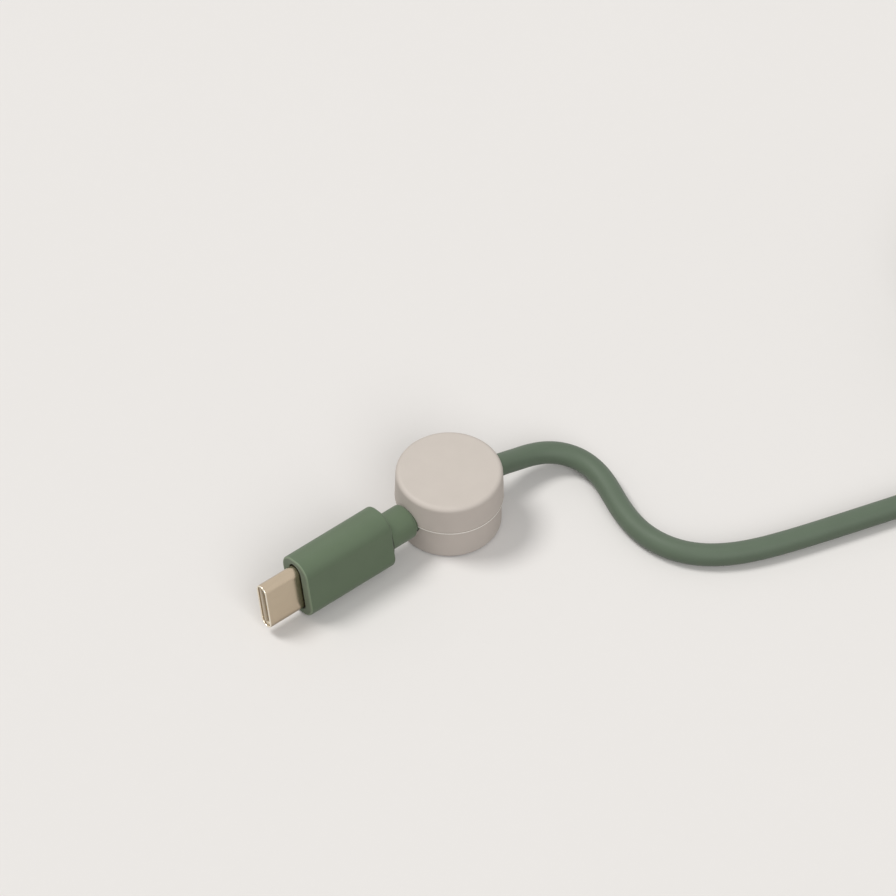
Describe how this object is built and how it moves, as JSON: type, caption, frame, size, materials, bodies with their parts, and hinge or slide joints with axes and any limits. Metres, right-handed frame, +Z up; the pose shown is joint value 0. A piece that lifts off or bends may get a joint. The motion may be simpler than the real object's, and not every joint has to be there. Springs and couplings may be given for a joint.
{
  "type": "charging cable",
  "caption": "Sage-green charging cable with a flat reversible plug at each end and a weighted beige puck that slides along it behind one plug.",
  "frame": {"origin": "middle of the puck's foot pad, on the surface that the cable lies on", "axes": "+X along the near plug's axis, from its mouth towards the cable; +Z up; +Y to the left of +X"},
  "size_m": [0.1686, 0.0684, 0.018],
  "materials": {
    "sage_soft": "soft-touch sage-green moulding",
    "sage_jacket": "satin sage-green cable jacket",
    "puck_plastic": "fine matt warm beige",
    "shell_metal": "satin champagne plating",
    "core_steel": "plain turned steel",
    "spring_steel": "bright rolled strip",
    "pad_rubber": "matt dark silicone",
    "insulator": "moulded light beige",
    "inner_mould": "translucent cream",
    "contacts": "gold plated",
    "circuit_board": "green solder mask",
    "chip": "black package",
    "screen": "tinned copper braid",
    "red_wire": "smooth",
    "white_wire": "smooth",
    "blue_wire": "smooth"
  },
  "bodies": {
    "anchor": {"anchor_cap": "puck_plastic", "anchor_base": "puck_plastic", "upper_core": "core_steel", "lower_core": "core_steel", "foot_pad": "pad_rubber", "cord_run": "sage_jacket", "cord_coil": "sage_jacket", "cord_tail": "sage_jacket", "far_shell": "shell_metal", "far_insulator": "insulator", "far_upper_contacts": "contacts", "far_lower_contacts": "contacts", "far_latch_spring": "spring_steel", "far_ground_springs": "spring_steel", "far_board": "circuit_board", "far_shield_can": "spring_steel", "far_inner_mould": "inner_mould", "far_crimp_ring": "spring_steel", "far_body": "sage_soft", "far_neck": "sage_soft", "far_lead_jacket": "sage_jacket", "far_lead_screen": "screen", "far_power_wires": "red_wire", "far_data_wires": "white_wire", "far_control_wire": "blue_wire"},
    "grip": {"grip_bush": "pad_rubber"},
    "plug": {"plug_shell": "shell_metal", "plug_insulator": "insulator", "plug_upper_contacts": "contacts", "plug_lower_contacts": "contacts", "plug_latch_spring": "spring_steel", "plug_ground_springs": "spring_steel", "plug_board": "circuit_board", "plug_marker_chip": "chip", "plug_capacitors": "insulator", "plug_shield_can": "spring_steel", "plug_inner_mould": "inner_mould", "plug_crimp_ring": "spring_steel", "plug_body": "sage_soft", "plug_neck": "sage_soft", "plug_lead_jacket": "sage_jacket", "plug_lead_screen": "screen", "plug_power_wires": "red_wire", "plug_data_wires": "white_wire", "plug_control_wire": "blue_wire"}
  },
  "joints": [
    {"name": "puck_turn", "type": "hinge", "parent": "anchor", "child": "grip", "pos_m": [0, 0, 0.0057], "axis": [1, 0, 0], "continuous": true},
    {"name": "plug_slide", "type": "slide", "parent": "grip", "child": "plug", "axis": [-1, 0, 0], "range_m": [0, 0.008]}
  ]
}
